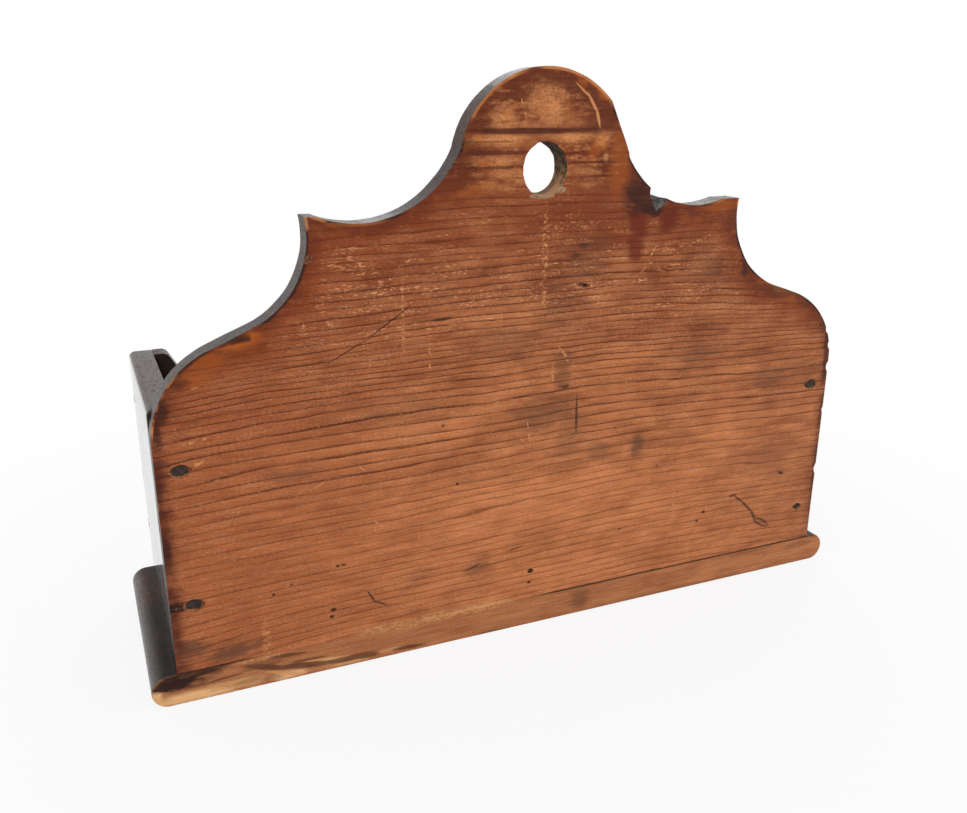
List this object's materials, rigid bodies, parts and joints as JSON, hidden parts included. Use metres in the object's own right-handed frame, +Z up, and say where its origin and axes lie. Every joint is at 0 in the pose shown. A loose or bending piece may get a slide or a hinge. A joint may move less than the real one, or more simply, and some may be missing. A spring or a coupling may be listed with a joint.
{
  "type": "candle box",
  "caption": "Antique wall-hanging candle box: an open trough of nailed pine boards with a scooped front, on a base with half-round ends, under a shaped backboard with a hanging hole.",
  "frame": {"origin": "middle of the footprint of the base board, on the surface it stands on", "axes": "+Z up, the open front of the box faces -Y, the flat back that lies against the wall faces +Y, +X to the left of someone looking at the back"},
  "size_m": [0.4048, 0.12, 0.2919],
  "materials": {
    "aged_pine": "bare aged pine with an orange-brown patina",
    "dark_varnished_pine": "old dark varnish, glossy, worn at the edges",
    "old_iron": "dark, lightly rusted"
  },
  "bodies": {
    "root": {"backboard": "aged_pine", "base_board": "dark_varnished_pine", "left_side": "dark_varnished_pine", "right_side": "dark_varnished_pine", "front_board": "dark_varnished_pine", "back_nails_left": "old_iron", "back_nails_right": "old_iron", "front_nails_left": "old_iron", "front_nails_right": "old_iron", "base_nails_left": "old_iron", "base_nails_right": "old_iron", "base_nails_front": "old_iron", "base_nails_back": "old_iron"}
  },
  "joints": []
}
